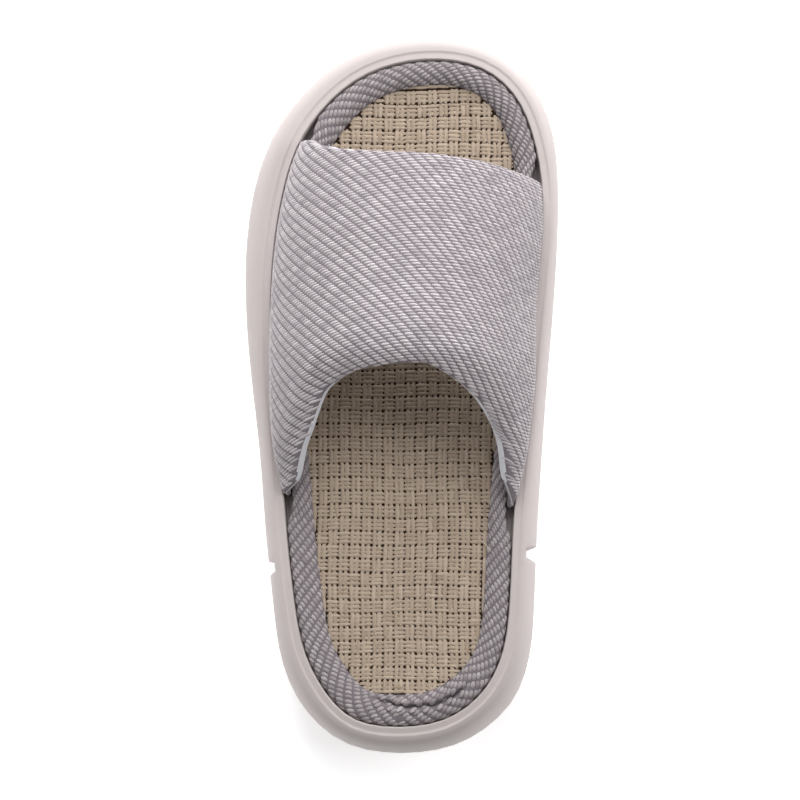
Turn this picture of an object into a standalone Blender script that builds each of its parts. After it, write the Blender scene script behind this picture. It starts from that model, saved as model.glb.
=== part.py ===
"""House slipper for the left foot: a foam cup sole, a bound linen footbed and a padded, lined upper.

Metres, +Z up. +Y points to the toe and +X to the inner side of the foot. The origin is on the ground,
under the middle of the sole.
"""

import math

import bmesh
import bpy
import numpy as np

# Driving sizes of the whole shoe
LENGTH = 0.276
BALL_WIDTH = 0.1218
HEEL_HEIGHT = 0.035
TOE_SPRING = 0.009
INSTEP_HEIGHT = 0.081
CROWN_OFFSET = 0.010

# Sole: its side flares out below a round shoulder. The rim is a narrow bead, then a flat that rises
# to the lip of the cup.
SOLE_FLARE = 0.010
EDGE_ROUND = 0.005
RIM_WIDTH = 0.0037
RIM_RISE = 0.0004
CUP_DEPTH = 0.009
CUP_DRAFT = 0.0002
CUP_CORNER = 0.0012

# Footbed and its binding
INSOLE_THICKNESS = 0.006
INSOLE_EDGE = 0.0006
INSOLE_DISH = 0.001
BINDING_WIDTH = 0.0105
BINDING_RISE = 0.0036
BINDING_LAP = 0.002

# Upper
UPPER_WALL = 0.004
FOOT_WALL = 0.0024
UPPER_PUFF = 0.0052
THROAT_ROLL = 0.0045
THROAT_ROLL_LENGTH = 0.016
FRONT_ROLL = 0.001
FRONT_ROLL_LENGTH = 0.006
ROLL_EASE = 0.016
THICKENING_HEIGHT = 0.004

# The binding stands back for the upper's feet: this far past each foot, then easing out again
STAND_BACK_MARGIN = 0.004
STAND_BACK_EASE = 0.009

# Notch in each side, and the groove under the waist that joins them
NOTCH_MOUTH = 0.0064
NOTCH_FLOOR = 0.0035
NOTCH_DEPTH = 0.0038
WAIST_GROOVE_DEPTH = 0.005
NOTCH_OVERRUN = 0.010
WAIST_OVERRUN = 0.002

# Tread: bowed grooves that stop short of the edge
TREAD_DEPTH = 0.0022
TREAD_WIDTH = 0.005
TREAD_MARGIN = 0.013
TREAD_BOW = 0.006
TREAD_PITCH = 0.0155
FOREFOOT_GROOVES = 7
HEEL_GROOVES = 3

# Gap between pieces that lie against each other
CLEARANCE = 0.0003

# Mesh density. Cap shares run from a loop to its spine, foot levels from the cup's floor to the rim,
# and edge rows from an edge of the upper inwards.
SPLINE_STEPS = 40
SIDE_POINTS = 50
CAP_SHARES = (0.3, 0.65, 1.0)
SPINE_END = 0.034
ARCH_COLUMNS = 28
UPPER_ROWS = 13
FOOT_LEVELS = (0.0, 0.6)
EDGE_ROWS = (0.0, 0.012, 0.035)
MERGE_DISTANCE = 1e-6

# Colours, linear
FOAM = (0.60, 0.53, 0.49)
LINEN = (0.30, 0.24, 0.18)
BINDING_CLOTH = (0.24, 0.21, 0.22)
UPPER_CLOTH = (0.47, 0.43, 0.44)

# Widest outline. Stations are shares of LENGTH from the heel, widths shares of BALL_WIDTH from the
# middle line, and flares shares of SOLE_FLARE: how far the ridge lies inside the outline.
OUTLINE = (
    ("station", "lateral", "medial", "lateral_flare", "medial_flare"),
    (0.015, 0.182, 0.186, 0.68, 0.66),
    (0.043, 0.271, 0.286, 0.76, 0.68),
    (0.070, 0.321, 0.343, 0.80, 0.70),
    (0.126, 0.376, 0.396, 0.72, 0.62),
    (0.209, 0.405, 0.416, 0.60, 0.53),
    (0.293, 0.426, 0.424, 0.58, 0.52),
    (0.405, 0.447, 0.440, 0.55, 0.46),
    (0.517, 0.477, 0.459, 0.60, 0.34),
    (0.630, 0.499, 0.481, 0.79, 0.29),
    (0.715, 0.497, 0.493, 0.92, 0.23),
    (0.800, 0.467, 0.496, 0.97, 0.29),
    (0.857, 0.420, 0.484, 0.92, 0.44),
    (0.914, 0.335, 0.442, 0.88, 0.54),
    (0.971, 0.179, 0.327, 0.82, 0.62),
)
HEEL_POINT = (0.0, 0.0, 0.65)
TOE_POINT = (1.0, 0.077, 0.75)

# Side view of the sole: lift of the ground line as a share of TOE_SPRING, and height of the ridge
# as a share of HEEL_HEIGHT
PROFILE = (
    ("station", "lift", "ridge"),
    (0.00, 0.33, 1.000),
    (0.07, 0.00, 0.995),
    (0.22, 0.00, 0.950),
    (0.34, 0.25, 0.880),
    (0.45, 0.00, 0.815),
    (0.60, 0.00, 0.770),
    (0.76, 0.00, 0.765),
    (0.86, 0.17, 0.790),
    (0.94, 0.50, 0.835),
    (1.00, 1.00, 0.890),
)

# Section of the side, ground to ridge: height as a share of the side, flare gone by then, and how
# much of EDGE_ROUND is tucked under
SIDE = (
    ("height", "flare", "tuck"),
    (0.000, 0.00, 1.00),
    (0.020, 0.00, 0.58),
    (0.080, 0.00, 0.20),
    (0.240, 0.00, 0.00),
    (0.550, 0.09, 0.00),
    (0.680, 0.17, 0.00),
    (0.790, 0.28, 0.00),
    (0.870, 0.40, 0.00),
    (0.930, 0.54, 0.00),
    (0.970, 0.69, 0.00),
    (0.992, 0.85, 0.00),
)

# Section of the rim, ridge to cup: inset as a share of RIM_WIDTH, height over the ridge as a share
# of RIM_RISE
RIM = (
    ("inset", "rise"),
    (0.00, 0.00),
    (0.08, 0.25),
    (0.17, 0.10),
    (0.27, -0.30),
    (0.40, -0.15),
    (0.66, 0.40),
    (0.90, 0.95),
    (1.00, -0.40),
)

# Stations of the two notches and of the first groove in each run of tread
PLACES = (
    ("lateral_notch", "medial_notch", "forefoot_tread", "heel_tread"),
    (0.254, 0.274, 0.42, 0.09),
)

# Plan of a groove, end to end: its width there as a share of TREAD_WIDTH
TREAD = (
    ("length", "width"),
    (0.000, 0.50),
    (0.125, 0.91),
    (0.250, 0.99),
    (0.375, 1.00),
    (0.500, 1.00),
    (0.625, 1.00),
    (0.750, 0.99),
    (0.875, 0.91),
    (1.000, 0.50),
)

# Section of a groove: shares of half its width there, and of TREAD_DEPTH
TREAD_SECTION = (
    ("width", "height"),
    (1.0, -1.0),
    (-1.0, -1.0),
    (-0.7, 1.0),
    (0.7, 1.0),
)

# Width of the binding as a share of BINDING_WIDTH
BINDING = (
    ("station", "lateral", "medial"),
    (0.00, 1.12, 1.12),
    (0.07, 1.06, 1.06),
    (0.15, 0.98, 0.90),
    (0.35, 0.96, 0.86),
    (0.60, 0.94, 0.86),
    (0.86, 1.02, 0.86),
    (0.93, 0.94, 0.85),
    (1.00, 0.79, 0.79),
)

# Section of the binding, outer side to linen: inset as a share of its width, rise as a share of
# BINDING_RISE above the linen
BINDING_ROLL = (
    ("inset", "rise"),
    (0.00, 0.36),
    (0.07, 0.74),
    (0.20, 0.95),
    (0.40, 1.00),
    (0.64, 0.88),
    (0.86, 0.54),
    (1.00, 0.16),
)

# Arch of the upper: crown height as a share of INSTEP_HEIGHT, and how far each side swells over the
# rim as a share of UPPER_PUFF
ARCH = (
    ("station", "crown", "lateral_puff", "medial_puff"),
    (0.340, 0.780, 0.25, 0.40),
    (0.365, 0.820, 0.40, 0.65),
    (0.430, 0.920, 0.70, 0.95),
    (0.497, 0.988, 0.50, 0.95),
    (0.530, 1.000, 0.38, 0.80),
    (0.560, 0.980, 0.29, 0.64),
    (0.630, 0.915, 0.10, 0.33),
    (0.720, 0.830, 0.03, 0.30),
    (0.810, 0.735, 0.00, 0.13),
    (0.900, 0.640, 0.00, 0.06),
)

# Swelling of the upper's side, by the share of the way from the rim to the crown
PUFF = (
    ("climb", "swell"),
    (0.00, 0.00),
    (0.04, 0.48),
    (0.09, 0.82),
    (0.18, 1.00),
    (0.30, 0.86),
    (0.50, 0.47),
    (0.75, 0.18),
    (1.00, 0.06),
)

# Cut of the upper: front and throat edge as stations, from the lateral rim (-1) over the crown (0)
# to the medial rim (1)
UPPER_CUT = (
    ("across", "front", "throat"),
    (-1.00, 0.848, 0.353),
    (-0.80, 0.848, 0.366),
    (-0.60, 0.836, 0.425),
    (-0.45, 0.828, 0.488),
    (-0.25, 0.821, 0.513),
    (0.00, 0.816, 0.519),
    (0.22, 0.810, 0.502),
    (0.42, 0.803, 0.474),
    (0.60, 0.795, 0.433),
    (0.80, 0.790, 0.364),
    (1.00, 0.784, 0.335),
)


def column(table, name):
    """The values under one heading of a table."""
    names, *rows = table
    return np.array([row[names.index(name)] for row in rows])


def smooth_rise(shares, values, at):
    """A curve through the table's values that never swings past them."""
    steps = np.diff(shares)
    slopes = np.diff(values) / steps
    tangents = np.zeros(len(values))
    same_way = slopes[1:] * slopes[:-1] > 0
    product = slopes[1:] * slopes[:-1]
    total = np.where(same_way, slopes[1:] + slopes[:-1], 1.0)
    tangents[1:-1] = np.where(same_way, 2 * product / total, 0.0)
    tangents[0], tangents[-1] = slopes[0], slopes[-1]
    at = np.clip(at, shares[0], shares[-1])
    cell = np.clip(np.searchsorted(shares, at, side="right") - 1, 0, len(steps) - 1)
    part = (at - shares[cell]) / steps[cell]
    square, cube = part**2, part**3
    start = (2 * cube - 3 * square + 1) * values[cell]
    start_pull = (cube - 2 * square + part) * steps[cell] * tangents[cell]
    end = (3 * square - 2 * cube) * values[cell + 1]
    end_pull = (cube - square) * steps[cell] * tangents[cell + 1]
    return start + start_pull + end + end_pull


def read(table, name, station):
    """One column of a table, read smoothly along the shoe."""
    return smooth_rise(column(table, table[0][0]), column(table, name), station)


def closed_spline(points, per_span):
    """A closed cubic through the points, with equal bending on both sides of each."""
    following = np.roll(points, -1, axis=0)
    span = np.linalg.norm((following - points)[:, :2], axis=1)
    before = np.roll(span, 1)
    count = len(points)
    system = np.zeros((count, count))
    slope = (following - points) / span[:, None] ** 2
    wanted = 3 * (slope + np.roll(slope, 1, axis=0))
    for i in range(count):
        system[i, i - 1] = 1 / before[i]
        system[i, i] = 2 / before[i] + 2 / span[i]
        system[i, (i + 1) % count] = 1 / span[i]
    tangents = np.linalg.solve(system, wanted)
    part = np.linspace(0, 1, per_span, endpoint=False)[None, :, None]
    square, cube = part**2, part**3
    reach = span[:, None, None]
    curve = (2 * cube - 3 * square + 1) * points[:, None]
    curve = curve + (cube - 2 * square + part) * reach * tangents[:, None]
    curve = curve + (3 * square - 2 * cube) * following[:, None]
    curve = curve + (cube - square) * reach * np.roll(tangents, -1, axis=0)[:, None]
    return curve.reshape(-1, points.shape[1])


def even_run(route, pieces):
    """The route cut into pieces of equal length, without its last point."""
    steps = np.linalg.norm(np.diff(route[:, :2], axis=0), axis=1)
    along = np.concatenate([[0], np.cumsum(steps)])
    wanted = np.linspace(0, along[-1], pieces, endpoint=False)
    return np.stack([np.interp(wanted, along, route[:, i]) for i in range(route.shape[1])], axis=1)


def station_y(station):
    return (station - 0.5) * LENGTH


def station_of(y):
    return y / LENGTH + 0.5


def widest_outline():
    """Plan points and flares, from the heel along the lateral side to the toe and back."""
    y = station_y(column(OUTLINE, "station"))
    sides = []
    for side, sign in (("lateral", -1), ("medial", 1)):
        x = sign * BALL_WIDTH * column(OUTLINE, side)
        flare = SOLE_FLARE * column(OUTLINE, side + "_flare")
        sides.append(np.stack([x, y, flare], axis=1))
    ends = []
    for station, across, flare in (HEEL_POINT, TOE_POINT):
        ends.append([across * BALL_WIDTH, station_y(station), flare * SOLE_FLARE])
    lateral, medial = sides
    points = np.concatenate([[ends[0]], lateral, [ends[1]], medial[::-1]])
    curve = closed_spline(points, SPLINE_STEPS)
    low, high = curve[:, :2].min(axis=0), curve[:, :2].max(axis=0)
    curve[:, :2] -= (low + high) / 2
    curve[:, :2] *= np.array([BALL_WIDTH, LENGTH]) / (high - low)
    toe = SPLINE_STEPS * (len(lateral) + 1)
    rounded = np.concatenate([curve, curve[:1]])
    lateral_run = even_run(rounded[: toe + 1], SIDE_POINTS)
    medial_run = even_run(rounded[toe:], SIDE_POINTS)
    loop = np.concatenate([lateral_run, medial_run])
    return loop[:, :2], loop[:, 2]


def inward(loop):
    """Unit normals of a plan loop, pointing into it."""
    along = np.roll(loop, -1, axis=0) - np.roll(loop, 1, axis=0)
    turned = np.stack([along[:, 1], -along[:, 0]], axis=1)
    return turned / np.linalg.norm(turned, axis=1)[:, None]


OUTER, FLARE = widest_outline()
RIDGE = OUTER + inward(OUTER) * FLARE[:, None]
CUP_INSET = RIM_WIDTH + CUP_DRAFT


def inside_ridge(inset):
    """The ridge's plan loop moved inwards."""
    return RIDGE + inward(RIDGE) * np.broadcast_to(inset, len(RIDGE))[:, None]


def ground_height(y):
    return TOE_SPRING * read(PROFILE, "lift", station_of(y))


def ridge_height(y):
    return HEEL_HEIGHT * read(PROFILE, "ridge", station_of(y))


def cup_floor(y):
    return ridge_height(y) - CUP_DEPTH


def linen_height(y):
    return cup_floor(y) + CLEARANCE + INSOLE_THICKNESS


def raised(loop, heights):
    """A plan loop with a height for each point."""
    return np.column_stack([loop, np.broadcast_to(heights, len(loop))])


def spine_of(loop):
    """The middle line between the two sides of a loop, which a flat face closes on."""
    opposite = np.roll(loop[::-1], 1, axis=0)
    middle = (loop + opposite) / 2
    reach = LENGTH / 2 - SPINE_END
    middle[:, 1] = np.clip(middle[:, 1], -reach, reach)
    near_end = abs((loop + opposite)[:, 1] / 2) > reach
    for end in (-1, 1):
        group = near_end & (np.sign(middle[:, 1]) == end)
        middle[group, 0] = middle[group, 0][0]
    return middle


def closing_rings(loop, height_at, dish=0.0):
    """Rings from a loop to its spine, on a surface whose height follows the length of the shoe."""
    spine = spine_of(loop)
    rings = []
    for share in CAP_SHARES:
        plan = loop + (spine - loop) * share
        rings.append(raised(plan, height_at(plan[:, 1]) - dish * share))
    return rings


def by_side(table, loop):
    """A table's lateral and medial columns, each read on its own side of a loop."""
    station = station_of(loop[:, 1])
    lateral = read(table, "lateral", station)
    medial = read(table, "medial", station)
    return np.where(np.arange(len(loop)) <= SIDE_POINTS, lateral, medial)


def eased_step(lengths):
    """0 before a stretch of STAND_BACK_EASE, 1 after it."""
    part = np.clip(lengths / STAND_BACK_EASE, 0, 1)
    return part**2 * (3 - 2 * part)


def stand_back():
    """How far the binding's outer side stands in from the cup to leave room for the upper's feet."""
    y = RIDGE[:, 1]
    lateral, medial = UPPER_CUT[1], UPPER_CUT[-1]
    on_lateral = np.arange(len(RIDGE)) <= SIDE_POINTS
    front = station_y(np.where(on_lateral, lateral[1], medial[1])) + STAND_BACK_MARGIN
    throat = station_y(np.where(on_lateral, lateral[2], medial[2])) - STAND_BACK_MARGIN
    beside = eased_step(y - throat + STAND_BACK_EASE) * eased_step(front + STAND_BACK_EASE - y)
    return (FOOT_WALL + CLEARANCE) * beside


def binding_insets():
    """Insets of the binding's outer side and of its inner edge from the ridge."""
    seat = CUP_INSET + CLEARANCE
    return seat + stand_back(), seat + BINDING_WIDTH * by_side(BINDING, RIDGE)


def material(name, colour, roughness):
    made = bpy.data.materials.new(name)
    made.use_nodes = True
    shader = made.node_tree.nodes["Principled BSDF"]
    shader.inputs["Base Color"].default_value = (*colour, 1.0)
    shader.inputs["Roughness"].default_value = roughness
    shader.inputs["Metallic"].default_value = 0.0
    made.diffuse_color = (*colour, 1.0)
    return made


def loft(name, rings, closed=False):
    """A closed body through rings of as many points each; a closed loft joins the last to the first."""
    mesh = bmesh.new()
    rows = [[mesh.verts.new(point) for point in ring] for ring in rings]
    pairs = list(zip(rows, rows[1:]))
    if closed:
        pairs.append((rows[-1], rows[0]))
    for first, second in pairs:
        for i in range(len(first)):
            j = (i + 1) % len(first)
            mesh.faces.new((first[i], first[j], second[j], second[i]))
    bmesh.ops.remove_doubles(mesh, verts=mesh.verts, dist=MERGE_DISTANCE)
    bmesh.ops.dissolve_degenerate(mesh, edges=mesh.edges, dist=MERGE_DISTANCE)
    bmesh.ops.recalc_face_normals(mesh, faces=mesh.faces)
    data = bpy.data.meshes.new(name)
    mesh.to_mesh(data)
    mesh.free()
    made = bpy.data.objects.new(name, data)
    bpy.context.scene.collection.objects.link(made)
    return made


def finish(made, finish_material, sharp_degrees):
    made.data.materials.append(finish_material)
    made.data.shade_smooth()
    made.data.set_sharp_from_angle(angle=math.radians(sharp_degrees))


def side_rings():
    """The side of the sole, from the ground to just under the ridge."""
    rings = []
    normal = inward(OUTER)
    rows = zip(column(SIDE, "height"), column(SIDE, "flare"), column(SIDE, "tuck"))
    for height, flare, tuck in rows:
        inset = FLARE * flare + EDGE_ROUND * tuck
        plan = OUTER + normal * inset[:, None]
        low = ground_height(plan[:, 1])
        high = ridge_height(plan[:, 1])
        rings.append(raised(plan, low + (high - low) * height))
    return rings


def rim_rings():
    """The bead along the ridge, and the flat that rises to the lip of the cup."""
    rings = []
    for inset, rise in zip(column(RIM, "inset"), column(RIM, "rise")):
        plan = inside_ridge(RIM_WIDTH * inset)
        rings.append(raised(plan, ridge_height(plan[:, 1]) + RIM_RISE * rise))
    return rings


def cup_rings():
    """The cup's wall and floor."""
    wall = inside_ridge(CUP_INSET)
    floor = inside_ridge(CUP_INSET + CUP_CORNER)
    rings = [raised(wall, cup_floor(wall[:, 1]) + CUP_CORNER)]
    rings.append(raised(floor, cup_floor(floor[:, 1])))
    return rings + closing_rings(floor, cup_floor)


def cutter(name, rings):
    made = loft(name, rings)
    made.hide_render = True
    made.display_type = "WIRE"
    return made


def cut(body, tool):
    step = body.modifiers.new("cut " + tool.name, "BOOLEAN")
    step.operation = "DIFFERENCE"
    step.solver = "EXACT"
    step.object = tool


def box_rings(sections):
    """Rings of a bar from its four-cornered sections, closed to a point line at both ends."""
    first, last = np.array(sections[0]), np.array(sections[-1])
    start = np.repeat(first.mean(axis=0)[None], 4, axis=0)
    end = np.repeat(last.mean(axis=0)[None], 4, axis=0)
    return [start, *sections, end]


def station_for(place):
    return column(PLACES, place)[0]


def outline_at(station, side):
    """Where the widest outline of one side passes a station, and the inward normal there."""
    normal = inward(OUTER)
    half = slice(0, SIDE_POINTS + 1) if side == "lateral" else slice(SIDE_POINTS, None)
    y = OUTER[half, 1]
    order = np.argsort(y)
    wanted = station_y(station)
    place = [np.interp(wanted, y[order], OUTER[half, i][order]) for i in range(2)]
    facing = [np.interp(wanted, y[order], normal[half, i][order]) for i in range(2)]
    return np.array(place), np.array(facing)


def notch_cutter(name, station, side):
    """A tapered slot across the side, from below the ground up past the slope of the flank."""
    place, facing = outline_at(station, side)
    along = np.array([-facing[1], facing[0]])
    slope = (NOTCH_MOUTH - NOTCH_FLOOR) / NOTCH_DEPTH
    outer_half = (NOTCH_MOUTH + slope * NOTCH_OVERRUN) / 2
    corners = []
    for depth, half in ((-NOTCH_OVERRUN, outer_half), (NOTCH_DEPTH, NOTCH_FLOOR / 2)):
        middle = place + facing * depth
        pair = [middle - along * half, middle + along * half]
        corners.extend(pair if not corners else pair[::-1])
    corners = np.array(corners)
    levels = (-TOE_SPRING, HEEL_HEIGHT + TOE_SPRING)
    return cutter(name, box_rings([raised(corners, level) for level in levels]))


def waist_cutter():
    """The groove under the waist, from one notch to the other."""
    sections = []
    for side in ("lateral", "medial"):
        place, facing = outline_at(station_for(side + "_notch"), side)
        start = place - facing * WAIST_OVERRUN
        top = ground_height(place[1]) + WAIST_GROOVE_DEPTH
        bottom = -TOE_SPRING
        section = []
        for half, height in (
            (NOTCH_MOUTH / 2, bottom),
            (-NOTCH_MOUTH / 2, bottom),
            (-NOTCH_FLOOR / 2, top),
            (NOTCH_FLOOR / 2, top),
        ):
            section.append([start[0], start[1] + half, height])
        sections.append(np.array(section))
    return cutter("waist_groove_cutter", box_rings(sections))


def tread_cutter(name, station):
    """A bowed bar across the underside, which stops short of both edges."""
    lateral, _ = outline_at(station, "lateral")
    medial, _ = outline_at(station, "medial")
    start = lateral[0] + TREAD_MARGIN
    end = medial[0] - TREAD_MARGIN
    sections = []
    for share, width in TREAD[1:]:
        x = start + (end - start) * share
        y = station_y(station) + TREAD_BOW * math.sin(math.pi * share)
        across = y + TREAD_WIDTH / 2 * width * column(TREAD_SECTION, "width")
        height = ground_height(y) + TREAD_DEPTH * column(TREAD_SECTION, "height")
        sections.append(np.column_stack([np.full(len(across), x), across, height]))
    return cutter(name, box_rings(sections))


def make_outsole():
    foam = material("outsole_foam", FOAM, roughness=0.55)
    side = side_rings()
    underside = closing_rings(side[0][:, :2], ground_height)[::-1]
    rings = underside + side + rim_rings() + cup_rings()
    outsole = loft("outsole", rings)
    for side in ("lateral", "medial"):
        cut(outsole, notch_cutter(side + "_notch_cutter", station_for(side + "_notch"), side))
    cut(outsole, waist_cutter())
    for place, count in (("forefoot_tread", FOREFOOT_GROOVES), ("heel_tread", HEEL_GROOVES)):
        for i in range(count):
            station = station_for(place) + i * TREAD_PITCH / LENGTH
            cut(outsole, tread_cutter(f"{place}_cutter_{i}", station))
    finish(outsole, foam, sharp_degrees=40)


def make_insole():
    linen = material("linen", LINEN, roughness=0.9)
    inset = binding_insets()[1] - BINDING_LAP + CLEARANCE
    edge = inside_ridge(inset)
    shoulder = inside_ridge(inset + INSOLE_EDGE)
    base = cup_floor(edge[:, 1]) + CLEARANCE
    top = linen_height(edge[:, 1])
    low_cap = closing_rings(edge, lambda y: cup_floor(y) + CLEARANCE)[::-1]
    rings = low_cap + [raised(edge, base), raised(edge, top - INSOLE_EDGE)]
    rings.append(raised(shoulder, linen_height(shoulder[:, 1])))
    rings += closing_rings(shoulder, linen_height, INSOLE_DISH)
    finish(loft("insole", rings), linen, sharp_degrees=50)


def make_insole_binding():
    cloth = material("binding_twill", BINDING_CLOTH, roughness=0.95)
    outer, inner = binding_insets()
    rings = []
    for inset, rise in zip(column(BINDING_ROLL, "inset"), column(BINDING_ROLL, "rise")):
        plan = inside_ridge(outer + (inner - outer) * inset)
        rings.append(raised(plan, linen_height(plan[:, 1]) + BINDING_RISE * rise))
    lap = inside_ridge(inner - BINDING_LAP)
    tip = inside_ridge(inner)
    base = inside_ridge(outer + CUP_CORNER)
    side = inside_ridge(outer)
    rings.append(raised(tip, linen_height(tip[:, 1]) + CLEARANCE))
    rings.append(raised(lap, linen_height(lap[:, 1]) + CLEARANCE))
    rings.append(raised(lap, cup_floor(lap[:, 1]) + CLEARANCE))
    rings.append(raised(base, cup_floor(base[:, 1]) + CLEARANCE))
    rings.append(raised(side, cup_floor(side[:, 1]) + CLEARANCE + CUP_CORNER))
    finish(loft("insole_binding", rings, closed=True), cloth, sharp_degrees=60)


def foot_x(side, y):
    """Where the outer face of the upper's foot stands in the cup, on one side."""
    seat = inside_ridge(CUP_INSET + CLEARANCE)
    half = slice(0, SIDE_POINTS + 1) if side == "lateral" else slice(SIDE_POINTS, None)
    order = np.argsort(seat[half, 1])
    return np.interp(y, seat[half, 1][order], seat[half, 0][order])


def arch_point(across, y):
    """Outer face of the upper: across is -1 at the lateral rim, 0 at the crown, 1 at the medial rim."""
    station = station_of(y)
    side = "lateral" if across < 0 else "medial"
    sign = -1 if across < 0 else 1
    rim = ridge_height(y)
    crown = INSTEP_HEIGHT * read(ARCH, "crown", station)
    climb = 1 - abs(across)
    angle = climb * math.pi / 2
    swell = UPPER_PUFF * read(ARCH, side + "_puff", station) * read(PUFF, "swell", climb)
    reach = abs(foot_x(side, y) - CROWN_OFFSET)
    x = CROWN_OFFSET + sign * (reach + swell) * math.cos(angle)
    z = rim + (crown - rim) * math.sin(angle)
    return np.array([x, y, z])


def edge_stations(across):
    shares = column(UPPER_CUT, "across")
    front = smooth_rise(shares, column(UPPER_CUT, "front"), across)
    throat = smooth_rise(shares, column(UPPER_CUT, "throat"), across)
    return front, throat


def upper_levels():
    """The columns of the upper: (across, share of the foot's height), foot to foot over the crown."""
    arch = [(-1 + 2 * i / ARCH_COLUMNS, 1.0) for i in range(ARCH_COLUMNS + 1)]
    lateral = [(-1.0, level) for level in FOOT_LEVELS]
    medial = [(1.0, level) for level in FOOT_LEVELS[::-1]]
    return [*lateral, *arch, *medial]


def upper_rows():
    """Shares of the way from the front edge to the throat edge, closer together at the edges."""
    inner = np.linspace(0, 1, UPPER_ROWS + 1)
    edge = np.array(EDGE_ROWS)
    return np.concatenate([edge, inner[1:-1], 1 - edge[::-1]])


def outer_face():
    """Grid of the upper's outer face, before its edges are rolled: rows by columns by point."""
    rows = []
    for share in upper_rows():
        row = []
        for across, level in upper_levels():
            front, throat = edge_stations(across)
            y = station_y(front + (throat - front) * share)
            point = arch_point(across, y)
            if level < 1:
                base = cup_floor(y) + CUP_CORNER + CLEARANCE
                point[2] = base + (point[2] - base) * level
            row.append(point)
        rows.append(row)
    return np.array(rows)


def face_normals(grid):
    """Unit normals of a grid, pointing away from the foot."""
    along = np.gradient(grid, axis=0)
    over = np.gradient(grid, axis=1)
    normal = np.cross(over, along)
    normal /= np.linalg.norm(normal, axis=2)[:, :, None]
    middle = normal[normal.shape[0] // 2, normal.shape[1] // 2]
    return normal if middle[2] > 0 else -normal


def run_lengths(grid):
    """Length of each column up to each row."""
    steps = np.linalg.norm(np.diff(grid, axis=0), axis=2)
    return np.concatenate([np.zeros((1, grid.shape[1])), np.cumsum(steps, axis=0)])


def roll_drop(distance, drop, length):
    """How far a padded edge rolls in, by the distance from the edge."""
    left = np.clip(1 - distance / length, 0, 1)
    return drop * left**2


def upper_walls(grid):
    """Wall of the upper at each grid point: thin beside the binding, full above it."""
    lift = grid[:, :, 2] - (linen_height(grid[:, :, 1]) + BINDING_RISE)
    share = np.clip(lift / THICKENING_HEIGHT, 0, 1)
    return FOOT_WALL + (UPPER_WALL - FOOT_WALL) * share


def upper_faces():
    """Grids of the upper's outer and inner face, which meet along the rolled front and throat."""
    grid = outer_face()
    normal = face_normals(grid)
    foot = len(FOOT_LEVELS) + 1
    normal[:, :foot, 2] = 0
    normal[:, -foot:, 2] = 0
    normal /= np.linalg.norm(normal, axis=2)[:, :, None]
    length = run_lengths(grid)
    left = length[-1] - length
    above = np.clip((grid[:, :, 2] - ridge_height(grid[:, :, 1])) / ROLL_EASE, 0, 1)
    roll = roll_drop(left, THROAT_ROLL, THROAT_ROLL_LENGTH)
    roll = roll + roll_drop(length, FRONT_ROLL, FRONT_ROLL_LENGTH)
    roll = roll * above**2 * (3 - 2 * above)
    wall = upper_walls(grid)
    edge = np.minimum(length, left)
    fullness = np.sqrt(1 - np.clip(1 - 2 * edge / wall, 0, 1) ** 2)
    middle = roll + wall / 2
    outer = grid - normal * (middle - wall / 2 * fullness)[:, :, None]
    inner = grid - normal * (middle + wall / 2 * fullness)[:, :, None]
    return outer, inner


def make_upper():
    cloth = material("upper_twill", UPPER_CLOTH, roughness=0.95)
    outer, inner = upper_faces()
    rings = [np.concatenate([outer[i], inner[i][::-1]]) for i in range(len(outer))]
    finish(loft("upper", rings), cloth, sharp_degrees=60)


def clear_scene():
    for existing in list(bpy.data.objects):
        bpy.data.objects.remove(existing, do_unlink=True)


clear_scene()
make_outsole()
make_insole()
make_insole_binding()
make_upper()
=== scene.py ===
# %% [markdown]
# A house slipper for the left foot, dressed for a picture. The CAD model already gives each solid
# piece its size and place: a foam cup sole, a footbed board, its padded binding and a band over the
# foot. What is missing is everything that makes cloth look like cloth. Loading the CAD first, and
# keeping its box, means that each new piece can be measured against a real one.

# %% Load the CAD model
import math

import bmesh
import bpy
import numpy as np
from mathutils import Matrix, Vector
from mathutils.bvhtree import BVHTree


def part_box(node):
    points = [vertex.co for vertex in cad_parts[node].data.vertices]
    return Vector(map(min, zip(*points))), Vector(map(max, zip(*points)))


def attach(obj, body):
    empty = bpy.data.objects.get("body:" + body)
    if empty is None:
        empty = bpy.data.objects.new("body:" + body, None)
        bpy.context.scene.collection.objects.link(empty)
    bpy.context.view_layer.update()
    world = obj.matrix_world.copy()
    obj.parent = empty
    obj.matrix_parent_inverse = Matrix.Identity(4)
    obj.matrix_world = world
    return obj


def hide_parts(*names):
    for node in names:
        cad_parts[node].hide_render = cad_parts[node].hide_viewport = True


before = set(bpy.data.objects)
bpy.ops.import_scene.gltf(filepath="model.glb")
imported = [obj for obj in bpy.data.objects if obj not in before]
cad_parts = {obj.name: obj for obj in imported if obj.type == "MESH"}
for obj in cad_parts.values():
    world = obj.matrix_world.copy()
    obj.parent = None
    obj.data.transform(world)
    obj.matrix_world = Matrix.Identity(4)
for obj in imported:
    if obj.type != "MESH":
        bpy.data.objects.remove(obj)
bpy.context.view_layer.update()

MM = 0.001
sole_low, sole_high = (np.array(corner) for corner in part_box("outsole"))
print("CAD nodes:", sorted(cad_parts))
print("sole, mm:", np.round((sole_high - sole_low) / MM, 1))

# %% [markdown]
# The picture was taken from almost straight above, over the heel, with a long lens. The camera could
# be aimed by eye, but a long lens hides a wrong height, so it is set from distances: 1.25 m away,
# leaning five degrees to the heel and three to the inner side. The lens follows from how many
# millimetres one dot of the picture covers at the footbed.

# %% Camera
PICTURE_DOTS = 800
MM_PER_DOT = 0.3826
CAMERA_PLACE = Vector((0.0632, -0.1131, 1.2652))
CAMERA_AIM = Vector((0.0, -0.0033, 0.020))
SENSOR_MM = 36.0
CAMERA_DISTANCE_MM = 1250.0

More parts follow.
